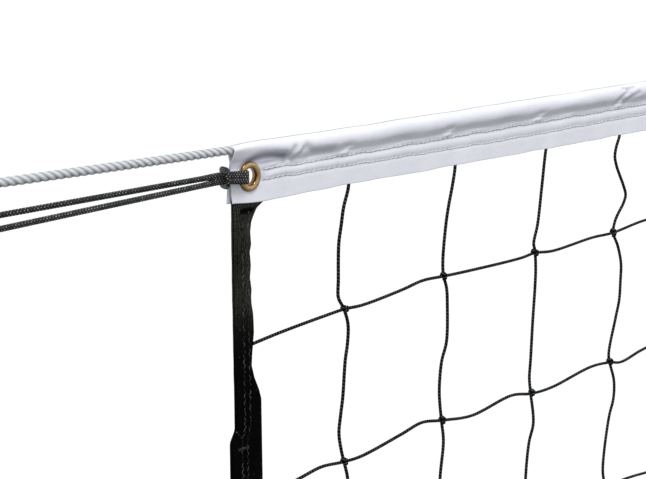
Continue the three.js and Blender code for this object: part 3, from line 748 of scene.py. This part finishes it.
def make_headband():
    stations = hem_stations()
    last = NET_END * 2 / MM
    fine_end, tail = 460.0, 70.0
    columns = np.concatenate([np.arange(0, fine_end, 1.1), np.arange(fine_end, last - tail, 14.0),
                              np.arange(last - tail, last, 2.0), [last]])
    u_left = columns[:, None]
    u_near = np.minimum(u_left, last - u_left)
    w0, d0 = stations[None, :, 0], stations[None, :, 1]
    lift = 0.3 * wander(u_left, SEED + 3, (120, 71, 43)) * smoothstep(u_left, 0, 30)
    corner_curl = 1.2 * np.exp(-(u_near / 18) ** 2) * smoothstep(d0, 22, BAND_DEEP)
    wobble = 0.45 * wander(u_left, SEED + 4, (38, 23, 61)) + 0.3 * wander(u_left, SEED + 6, (9, 13.5, 17))
    wobble = wobble * sum(bump(d0, row, 2) for row in THREAD_ROWS) * smoothstep(u_near, 20, 30)
    low_edge = 0.35 * wander(u_left, SEED + 5, (90, 51, 33)) * smoothstep(d0, 28, BAND_DEEP)
    depth = d0 - lift * (1 - smoothstep(d0, 0, 12)) - corner_curl + wobble + low_edge
    for place, sag in enumerate((SAG_TOP, SAG_UPPER_ROW, SAG_LOWER_ROW, SAG_LOW_EDGE)):
        share = np.interp(d0, (0, *THREAD_ROWS, BAND_DEEP), np.eye(4)[place])
        depth = depth + share * np.interp(u_near, SAG_PLACES, sag)
    depth = depth + 0.6 * np.exp(-(u_near / 7) ** 2) * (1 - smoothstep(d0, 0, 7))
    near_end = np.exp(-u_near / 25)
    # The slant of each face's end. These numbers probably began as points measured on the photograph as well.
    front_shift = np.interp(d0, (0, 8, 14, 24, 30, BAND_DEEP), (0.5, -0.3, -1.2, -1.7, -1.0, -0.2)) * near_end
    back_shift = np.interp(d0, (0, 8, 14, 26, BAND_DEEP), (0.5, 0.4, -0.5, -2.0, -2.7)) * near_end
    faces_at = {}
    for front, sign, shift in ((True, -1, front_shift), (False, 1, back_shift)):
        w = band_face(u_left, u_near, d0, w0, front)
        toward = np.where(u_left < last / 2, 1, -1)
        x = u_left + toward * shift
        faces_at[front] = np.stack([x + 0 * w, sign * w, -depth + 0 * w], axis=-1)
    outer = np.concatenate([faces_at[True][:, ::-1], faces_at[False][:, 1:]], axis=1)
    slope = np.gradient(outer[:, :, 1:], axis=1)
    slope /= np.linalg.norm(slope, axis=2)[:, :, None]
    inner = outer.copy()
    vinyl_thick = 0.4
    inner[:, :, 1] += vinyl_thick * slope[:, :, 1]
    inner[:, :, 2] -= vinyl_thick * slope[:, :, 0]
    inner = inner[:, ::-2]
    loop = np.concatenate([outer, inner], axis=1)
    verts = loop.reshape(-1, 3) * MM + np.array([-NET_END, 0, BAND_TOP])
    band = new_object("headband_vinyl", verts, skin_faces(len(columns), loop.shape[1]))
    d = np.broadcast_to(d0, w.shape)
    needle = (u_left % STITCH) / STITCH
    hole = bump(np.minimum(needle, 1 - needle) * STITCH, 0, 1.0)
    # Painted shade: shadows under both stitch lines, deeper at the needle holes, in the valley under the hem,
    # and near each end where the hem closes.
    painted_shadows = sum((0.7 + 0.3 * hole) * bump(d, row + 0.42, 0.42) for row in THREAD_ROWS)
    painted_shadows = painted_shadows * smoothstep(u_near, 21, 27) + 0.14 * bump(d, 10.8, 2.4)
    painted_shadows = painted_shadows + 0.34 * np.exp(-(u_near / 15) ** 2) * bump(d, 11, 5)
    # Painted shade: a thin darker line along the top edge, where the hem turns away.
    top_edge_shade = 0.72 * (1 - smoothstep(w0, 0.5, 1.7)) * (d < HEM_HALF_HEIGHT)
    # Painted shade in the front's grooves.
    folded = sum(-0.29 * height * along(u_near, d, points, width)
                 for points, width, height in FRONT_CREASES if height < 0)
    # All this painted shade goes on the outer skin, the grooves' shade on the front only.
    shade_loop = np.concatenate([(painted_shadows + top_edge_shade + folded)[:, ::-1], (painted_shadows + top_edge_shade)[:, 1:]], axis=1)
    paint(band, "painted_shade", np.concatenate([shade_loop, np.zeros((len(columns), inner.shape[1]))], axis=1))
    fix_normals(band)
    grommet_out, grommet_up, _ = CORNERS["upper"]
    cut_holes(band, [(side * grommet_out, grommet_up) for _, side in SIDES])
    finish_piece(band, "vinyl", "vinyl", "headband")
    threads = make_stitches(columns, faces_at, last)


def fix_normals(piece):
    """Turns every face of a closed piece outwards."""
    work = bmesh.new()
    work.from_mesh(piece.data)
    bmesh.ops.recalc_face_normals(work, faces=work.faces)
    work.to_mesh(piece.data)
    work.free()


CUT_RADIUS = 5.3 * MM                    # within the wall of the eyelet's barrel, which hides the cut edge


def cut_holes(piece, places):
    """Bores a round hole through the piece along Y at each (x, z)."""
    parts = []
    for x, z in places:
        path = np.array([[x, -0.012, z], [x, 0.012, z]])
        parts.append(sweep(path, CUT_RADIUS, 28))
    verts, faces = gather(parts)
    cutter = new_object("hole_cutter", verts, faces)
    fix_normals(cutter)
    modifier = piece.modifiers.new("holes", "BOOLEAN")
    modifier.operation = "DIFFERENCE"
    modifier.solver = "EXACT"
    modifier.object = cutter
    bpy.context.view_layer.objects.active = piece
    bpy.ops.object.modifier_apply(modifier=modifier.name)
    bpy.data.objects.remove(cutter)


def make_stitches(columns, faces_at, last):
    """Two rows of white thread on each face, one short arc of thread for each stitch."""
    station_d = hem_stations()[:, 1]
    pieces = []
    for front, sign in ((True, -1), (False, 1)):
        parts = []
        rng = random.Random(SEED + 11 + sign)
        for row in THREAD_ROWS:
            k = int(np.argmin(np.abs(station_d - row)))
            y_line, z_line = faces_at[front][:, k, 1], faces_at[front][:, k, 2]
            inset = 26.0
            for number in range(int(inset / STITCH) + 1, int((last - inset) / STITCH)):
                a = number * STITCH + 0.3
                b = a + STITCH - 0.6
                u = np.linspace(a, b, 4)
                y = np.interp(u, columns, y_line) + sign * np.array([-0.1, 0.3, 0.3, -0.1])
                tilt = rng.uniform(0.15, 0.5)
                z = np.interp(u, columns, z_line) + 0.15 + np.linspace(-tilt, tilt, 4)
                path = np.stack([u, y, z], axis=1) * MM + np.array([-NET_END, 0, BAND_TOP])
                parts.append(sweep(path, THREAD_RADIUS, 5))
        verts, faces = gather(parts)
        piece = new_object(f"headband_stitches_{'front' if front else 'back'}", verts, faces)
        pieces.append(finish_piece(piece, "thread", "vinyl"))
    return pieces


# ---- Webbing tapes ----
def make_webbing(name, low_edge, high_edge, run, place, seed, folds=()):
    """A folded strip of ribbed webbing. low_edge and high_edge give its edges in millimetres at each place
    along run. place turns (along, across, out) into a point. folds says where it is folded across."""
    across_count = 64
    share = np.linspace(0, 1, across_count)[None, :]
    low, high = low_edge(run)[:, None], high_edge(run)[:, None]
    across = low + (high - low) * share
    rib = 0.5 + 0.5 * np.cos(2 * np.pi * share * 15)
    full = smoothstep(share, 0, 0.05) * smoothstep(1 - share, 0, 0.08)
    loose = smoothstep(share, 0.55, 0.75)
    hump = np.sin(np.pi * np.clip((share - 0.5) / 0.5, 0, 1))
    puff = loose * (0.45 + 0.4 * wander(run, seed, (23, 41, 67)))[:, None] * hump
    crossing = sum(bump(run, fold, 1.2) for fold in folds) if folds else 0 * run
    crossing = crossing[:, None] * smoothstep(share, 0.25, 0.4) * smoothstep(1 - share, 0.1, 0.25)
    sewn_in = (0.45 + 0.55 * smoothstep(run, 0, 7))[:, None]
    half = 0.8 + puff + 0.18 * rib + 0.1 * wander(run, seed + 1, (15, 29))[:, None] - 0.5 * crossing
    half = 0.25 + full * sewn_in * half
    front = np.stack([run[:, None] + 0 * across, across, -half], axis=-1)
    back = np.stack([run[:, None] + 0 * across, across, half], axis=-1)[:, ::-1]
    loop = np.concatenate([front, back], axis=1)
    verts = np.array(place(loop.reshape(-1, 3))).T
    piece = new_object(name, verts, skin_faces(len(run), loop.shape[1]))
    fix_normals(piece)
    # Painted light on the ribs and where the tape puffs out, painted shade in its folds.
    shade = np.clip(0.12 + 0.62 * rib + 0.1 * loose - crossing, 0, 1)
    # Darker from 40 to 115 mm along the run.
    fade_down_run = 0.08 + 0.92 * (1 - smoothstep(run, 40, 115)) + 0.08 * wander(run, seed + 2, (140, 61))
    # A painted highlight along one fold, 147 mm down a side tape.
    painted_glint = bump(run, 147, 1.0)[:, None] * smoothstep(share, 0.15, 0.25) * (1 - smoothstep(share, 0.5, 0.62))
    shade = np.maximum(shade * fade_down_run[:, None], 0.8 * painted_glint if folds else 0)
    paint(piece, "strand", np.concatenate([shade, shade[:, ::-1]], axis=1))
    return piece


def tape_stitches(name, side, low_edge, run_end):
    """Zigzag seams of thread down both faces of a side tape, holding its fold."""
    parts = []
    for column, face in itertools.product((7.4, 11.9), (-1, 1)):
        drop = np.arange(6, run_end - 4, 1.05)
        swing = 0.65 * np.array([-1, -0.2, 1, 0.2])[np.arange(len(drop)) % 4]
        across = low_edge(drop) * 0.6 + column + swing
        out = face * (1.32 + 0.3 * np.abs(swing))
        points = np.stack([side * (NET_END - across * MM), out * MM, BAND_BOTTOM - drop * MM], axis=1)
        parts.append(sweep(points, THREAD_RADIUS, 4))
    verts, faces = gather(parts)
    return finish_piece(new_object(name, verts, faces), "tape_thread", "webbing")


# The side tape's inner edge: its width at each distance below the headband, in millimetres. It began as
# points measured on the photograph, which a separate program turned into millimetres. Its changes were guided
# by a program's measurements of how far the picture was from the photograph.
TAPE_PLACES = (-2, 1, 4, 8, 11.5, 17, 20, 24.5, 29, 34, 37.5, 44,
               48, 52, 56, 60, 66, 78, 90, 98, 106, 114, 120, 200)
TAPE_WIDTHS = (30, 26, 20.6, 18, 16, 15, 15.2, 15.6, 14.4, 15, 15.3, 14.2,
               15, 15.6, 15.1, 15.4, 16.6, 17.2, 15.6, 15, 17.3, 21, 22.8, 23.4)


def make_side_tape(label, side):
    bottom = (BAND_BOTTOM - NET_BOTTOM) / MM + 1.5
    run = np.concatenate([np.arange(-4, 215, 1.1), np.arange(215, bottom - 1.5, 5), [bottom - 1.5]])

    def high_edge(r):
        near = np.interp(r, TAPE_PLACES, TAPE_WIDTHS)
        sewn = smoothstep(r, bottom - 60, bottom - 28)
        far = 21 + 2.5 * wander(r, SEED + 31 + side, (64, 37, 101)) * (1 - sewn) + 2.8 * sewn
        mix = smoothstep(r, 175, 240)
        return near * (1 - mix) + far * mix

    def low_edge(r):
        step = 4.2 * smoothstep(r, 133, 143) * (1 - smoothstep(r, 230, 300))
        return 0.4 * smoothstep(r, 50, 120) * (1 - smoothstep(r, 300, 420)) - step

    def place(p):
        return side * (NET_END - p[:, 1] * MM), p[:, 2] * MM, BAND_BOTTOM - p[:, 0] * MM

    name = f"{label}_side_tape"
    piece = make_webbing(f"{name}_webbing", low_edge, high_edge, run, place, SEED + 40, (4.5, 144))
    grommet_out, grommet_up, _ = CORNERS["lower"]
    cut_holes(piece, [(side * grommet_out, grommet_up)])
    finish_piece(piece, "webbing", "webbing", name)
    seams = tape_stitches(f"{name}_seams", side, low_edge, bottom - 28)


def make_bottom_tape():
    half = (NET_END - TAPE_WIDTH) / MM
    run = np.arange(-half, half + 1, 8.0)

    def wave(r):
        return 0.8 * wander(r, SEED + 50, (210, 133, 77))

    def low_edge(r):
        return 0.8 + wave(r)

    def high_edge(r):
        return 23.2 + wave(r + 40)

    def place(p):
        return p[:, 0] * MM, p[:, 2] * MM, NET_BOTTOM + p[:, 1] * MM

    piece = make_webbing("bottom_tape_webbing", low_edge, high_edge, run, place, SEED + 51)
    finish_piece(piece, "webbing", "webbing", "bottom_tape")


# ---- Netting ----
# How the cords nearest the left end wander, in millimetres. Down a column: sideways from its straight line,
# at each drop below the headband's top. Along a row, and for the knots: (distance from the net's end, drop).
# These were not chosen by eye. They were measured on the photograph, turned into millimetres by a separate
# program, rounded, and then moved to bring the picture closer to the photograph.
NEAR_DOWN = {
    1: ((5, 34), (4.2, 39), (0, 50), (-2.3, 61), (-4.5, 72), (-5, 95), (-5, 106), (0, 114), (4, 125),
        (3.5, 137), (1.3, 148), (-1, 171), (-3, 182), (-4.7, 194), (-2.5, 206), (0, 214), (3.5, 226),
        (4.5, 245), (2, 262), (-1, 285), (-3, 303), (0, 314)),
    2: ((9.6, 34), (8.8, 41), (6.1, 52), (2.6, 64), (0, 76), (-2.8, 100), (-2, 109.5), (1.5, 119), (2.5, 131),
        (2, 156), (-2.8, 168), (-4.8, 180), (-5.1, 192), (-2.6, 210), (-0.2, 225), (-3.4, 250), (-4, 280),
        (-2, 303), (0, 313)),
    3: ((12, 34), (10.3, 41), (6.6, 66), (2.6, 91), (-1.6, 104), (0, 109), (1.5, 124), (-1, 163), (-2.5, 189),
        (-3.5, 202), (-1.7, 213), (2.5, 237), (-2.2, 250), (-5.2, 270), (-5.6, 290), (-3, 304), (-1, 313)),
    4: ((4, 34), (2.8, 40), (-0.8, 47), (-2.2, 54), (0.3, 61), (5.2, 69), (10.4, 77), (14, 85), (11.2, 91),
        (4.8, 97.5), (0.6, 103), (-1.5, 111), (5.5, 123), (10.5, 137), (10.5, 151), (9.6, 165), (5.5, 178),
        (-2.7, 205), (-1, 212), (5.7, 228), (5.7, 242), (0.5, 255), (-5.2, 283), (-6, 298), (-2, 313)),
}
NEAR_ACROSS = {
    1: ((12, 121), (21, 120), (42, 118), (78, 115.5), (98, 114.5), (115, 115), (154, 112), (175, 109.5),
        (197, 110.3), (217, 111), (285, 112), (300, 111), (322, 113), (373, 111), (400, 111.5),
        (440, 108.5), (480, 108)),
    2: ((12, 218), (35, 217), (58, 214), (76, 212), (97, 214), (114, 214.5), (154, 209.5), (175, 206.5),
        (197, 210), (230, 214.3), (276, 210.2), (300.5, 214.2), (325, 215), (376, 210.2), (401, 212),
        (417, 215), (445, 211.5), (480, 209)),
}
NEAR_KNOTS = {(1, 1): (98, 114.5), (2, 1): (197, 110.3), (3, 1): (300.5, 111), (4, 1): (400.7, 111.5),
              (1, 2): (97.5, 214), (2, 2): (197, 210), (3, 2): (300.3, 213.5), (4, 2): (401.2, 211.5),
              (1, 3): (97.2, 314), (2, 3): (199, 313), (3, 3): (299.6, 313), (4, 3): (402.3, 313)}


def from_corner(u, drop):
    """A point in the net's plane, given in millimetres from its top left corner."""
    return np.array([-NET_END + u * MM, 0.0, BAND_TOP - drop * MM])


def knot_places():
    rng = random.Random(SEED + 60)
    places = {}
    for column, row in itertools.product(range(1, CELLS), range(1, MESH_ROWS)):
        dx, dz, dy = rng.gauss(0, 1.8), rng.gauss(0, 1.8), rng.gauss(0, 1.2)
        if (column, row) in NEAR_KNOTS:
            places[column, row] = from_corner(*NEAR_KNOTS[column, row])
        else:
            places[column, row] = np.array([FIRST_COLUMN + column * PITCH_X + dx * MM, dy * MM,
                                            ROW_TOP - row * PITCH_Z + dz * MM])
    return places


def swayed(start, end, offsets, direction, bow):
    """The points of one cord between two knots, set off sideways by the offsets in millimetres."""
    points = []
    for k, offset in enumerate(offsets):
        t = (k + 1) / (len(offsets) + 1)
        point = start * (1 - t) + end * t + np.array(direction) * offset * MM
        point[1] += bow * MM * math.sin(math.pi * t)
        points.append(point)
    return points


def random_sway(rng, amount):
    lead = rng.gauss(0.9, 0.4) * amount
    wave = rng.gauss(0, 1) * amount * 0.6
    shares = (0.17, 0.33, 0.5, 0.67, 0.83)
    return [lead * (1 - 2 * t) + wave * math.sin(2 * math.pi * t) for t in shares]


def cord_lines():
    """Each cord of the net as the points that it runs through: by column, by row, and the knots."""
    rng = random.Random(SEED + 61)
    knots = knot_places()
    down, over = {}, {}
    for column in range(1, CELLS):
        x = FIRST_COLUMN + column * PITCH_X
        points = [np.array([x, 0, BAND_BOTTOM + 6 * MM])]
        first_row = 1
        if column in NEAR_DOWN:
            u = (x + NET_END) / MM
            points = [from_corner(u + dx, drop) for dx, drop in NEAR_DOWN[column]]
            first_row = 4
        for row in range(first_row, MESH_ROWS + 1):
            start = points[-1] if row > 1 else np.array([x, 0, ROW_TOP])
            end = knots.get((column, row), np.array([x, 0, NET_BOTTOM + 10 * MM]))
            sway = swayed(start, end, random_sway(rng, 3.4), (1, 0, 0), rng.gauss(0, 1.5))
            points += [p for p in sway if p[2] < BAND_BOTTOM + 4 * MM] + [end]
        down[column] = points
    for row in range(1, MESH_ROWS):
        z = ROW_TOP - row * PITCH_Z
        points = [np.array([-NET_END + 12 * MM, 0, z - 4 * MM])]
        first_column = 1
        if row in NEAR_ACROSS:
            points = [from_corner(u, drop) for u, drop in NEAR_ACROSS[row]]
            first_column = 5
        for column in range(first_column, CELLS + 1):
            end = knots.get((column, row), np.array([NET_END - 12 * MM, 0, z]))
            points += swayed(points[-1], end, random_sway(rng, 2.0), (0, 0, 1), rng.gauss(0, 1.5)) + [end]
        over[row] = np.array(points)
    return down, over, knots


def knot_shape(step):
    """A sheet bend drawn tight: two small interlocked turns of cord, about the origin, in millimetres."""
    first = [(-1.6, -0.5, 2.8), (-2.1, -1.3, 0.9), (-0.6, -1.7, -0.6), (1.3, -1.1, -1.3), (2.2, 0.2, -0.2),
             (1.2, 1.2, 1.0), (-0.6, 1.3, 1.4), (-2.2, 0.5, 0.6)]
    second = [(1.6, 0.5, -2.8), (2.1, 1.2, -0.9), (0.5, 1.5, 0.8), (-1.2, 0.6, 2.1), (-1.5, -1.0, 2.2),
              (0.3, -1.6, 1.4), (2.1, -0.7, 0.4), (2.4, 0.3, -0.9)]
    return [spline(points, step) for points in (first, second)]


def net_section(name, first, last, lines, step, sides):
    """One stretch of the netting, from column first up to column last."""
    down, over, knots = lines
    parts, corners = [], []

    def add(path):
        parts.append(sweep(path, NET_CORD_RADIUS, sides))
        corners.append(cord_map(path, sides))

    for column in range(first, last):
        add(spline(down[column], step))
    left_edge, right_edge = [FIRST_COLUMN + column * PITCH_X for column in (first, last)]
    for points in over.values():
        inside = (points[:, 0] >= left_edge - 1 * MM) | (first == 1)
        inside &= (points[:, 0] <= right_edge + 1 * MM) | (last == CELLS)
        add(spline(points[inside], step))
    rng = random.Random(SEED + 70 + first)
    shapes = knot_shape(step / MM * 0.5)
    for (column, row), centre in knots.items():
        if first <= column < last:
            lean, size = rng.uniform(-0.35, 0.35), rng.uniform(0.92, 1.12)
            turn = np.array([[math.cos(lean), 0, math.sin(lean)],
                             [0, 1, 0],
                             [-math.sin(lean), 0, math.cos(lean)]])
            for shape in shapes:
                add(shape @ turn.T * MM * size + centre)
    verts, faces = gather(parts)
    piece = new_object(name, verts, faces)
    lay_map(piece, np.vstack(corners))
    return finish_piece(piece, "net_cord", "net_cord")


def make_netting():
    lines = cord_lines()
    near, middle = 6, 51
    left = net_section("netting_left_end", 1, near, lines, 1.2 * MM, 8)
    net_section("netting_middle", near, middle, lines, 9 * MM, 5)
    net_section("netting_right_end", middle, CELLS, lines, 9 * MM, 5)
    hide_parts("netting")


# ---- Grommets ----
def half_turns(steps):
    return [math.pi * step / steps for step in range(steps + 1)]


def make_grommet(name, x, z, half):
    """A rolled brass eyelet with its washer, in place of the plain rings."""
    segments = 72
    seat = half + GAP
    crown = GROMMET_THICK * 1.25
    middle, reach = (GROMMET_HOLE + GROMMET_FLANGE) / 2, (GROMMET_FLANGE - GROMMET_HOLE) / 2
    dome = [(middle - reach * math.cos(angle), -seat - crown * math.sin(angle) ** 0.8)
            for angle in half_turns(12)]
    profile = [(GROMMET_HOLE, seat)] + dome + [(GROMMET_BARREL, -seat + 0.05 * MM), (GROMMET_BARREL, seat)]
    verts, faces = turned(profile, segments, (x, 0, z))
    eyelet = new_object(f"{name}_eyelet_rolled", verts, faces)
    # Painted reflection: 0 at the eyelet's rims, dark, up to 1 on its crown, bright.
    crown_share = [0.55] + [math.sin(angle) ** 2 for angle in half_turns(12)] + [0.2, 0.2]
    paint(eyelet, "crown", crown_share * segments)
    fix_normals(eyelet)
    finish_piece(eyelet, "brass", "brass", f"{name}_eyelet")
    inner = GROMMET_BARREL + GAP
    middle, reach = (inner + GROMMET_FLANGE) / 2, (GROMMET_FLANGE - inner) / 2
    ring = [(middle - reach * math.cos(angle), seat + GROMMET_THICK * math.sin(angle) ** 0.8)
            for angle in half_turns(8)]
    verts, faces = turned(ring, segments, (x, 0, z))
    washer = new_object(f"{name}_washer_rolled", verts, faces)
    # The washer takes one even level of the same painted reflection.
    paint(washer, "crown", [0.8] * len(verts))
    fix_normals(washer)
    finish_piece(washer, "brass", "brass", f"{name}_washer")


# ---- CAD nodes that stay ----
def dress_cad_nodes():
    slots = {entry["node"]: entry["material_slot"] for entry in frame["record"]["subparts"]}
    for node, piece in frame["nodes"].items():
        material = MATERIALS.get(slots[node])
        if material is None:
            continue
        piece.data.materials.clear()
        piece.data.materials.append(material)


# ---- Stage and light ----
WHITE_STARTS, WHITE_FULL = 1.0, 2.7      # metres behind the net
SUN_LEAN = (27, -9)                      # degrees about X and Y


def make_stage():
    """A floor, grey about the net and white behind it, where the camera sees it."""
    far = 120
    verts = [(-far, -far, 0), (far, -far, 0), (far, far, 0), (-far, far, 0)]
    floor = new_object("floor", verts, [(0, 1, 2, 3)], smooth=False)
    material, nodes, links, shader = principled("hall_floor", grey(0.9), 0.9, specular=0.0)
    place = nodes.new("ShaderNodeTexCoord")
    split = nodes.new("ShaderNodeSeparateXYZ")
    links.new(place.outputs["Object"], split.inputs["Vector"])
    reach = nodes.new("ShaderNodeMapRange")
    reach.inputs["From Min"].default_value = WHITE_STARTS
    reach.inputs["From Max"].default_value = WHITE_FULL
    links.new(split.outputs["Y"], reach.inputs["Value"])
    links.new(ramp(nodes, links, reach.outputs["Result"], [(0.0, grey(0.24)), (1.0, grey(0.76))]),
              shader.inputs["Base Color"])
    floor.data.materials.append(material)


def make_light():
    world = bpy.data.worlds.new("studio")
    bpy.context.scene.world = world
    world.use_nodes = True
    background = world.node_tree.nodes["Background"]
    background.inputs["Color"].default_value = (0.92, 0.95, 1.0, 1)
    background.inputs["Strength"].default_value = 0.9
    sun_data = bpy.data.lights.new("overhead", "SUN")
    sun_data.energy = 1.9
    sun_data.color = (1.0, 0.985, 0.965)
    sun_data.angle = math.radians(20)
    sun = bpy.data.objects.new("overhead", sun_data)
    sun.rotation_euler = (*[math.radians(degrees) for degrees in SUN_LEAN], 0)
    bpy.context.scene.collection.objects.link(sun)
    bpy.context.scene.view_settings.view_transform = "Standard"


make_camera()
make_materials()
make_tie_cords()
make_rope()
make_headband()
make_netting()
for label, side in SIDES:
    make_side_tape(label, side)
make_bottom_tape()
for (label, side), level in itertools.product(SIDES, CORNERS):
    out, up, half_thick = CORNERS[level]
    make_grommet(f"{label}_{level}", side * out, up, half_thick)
dress_cad_nodes()
make_stage()
make_light()
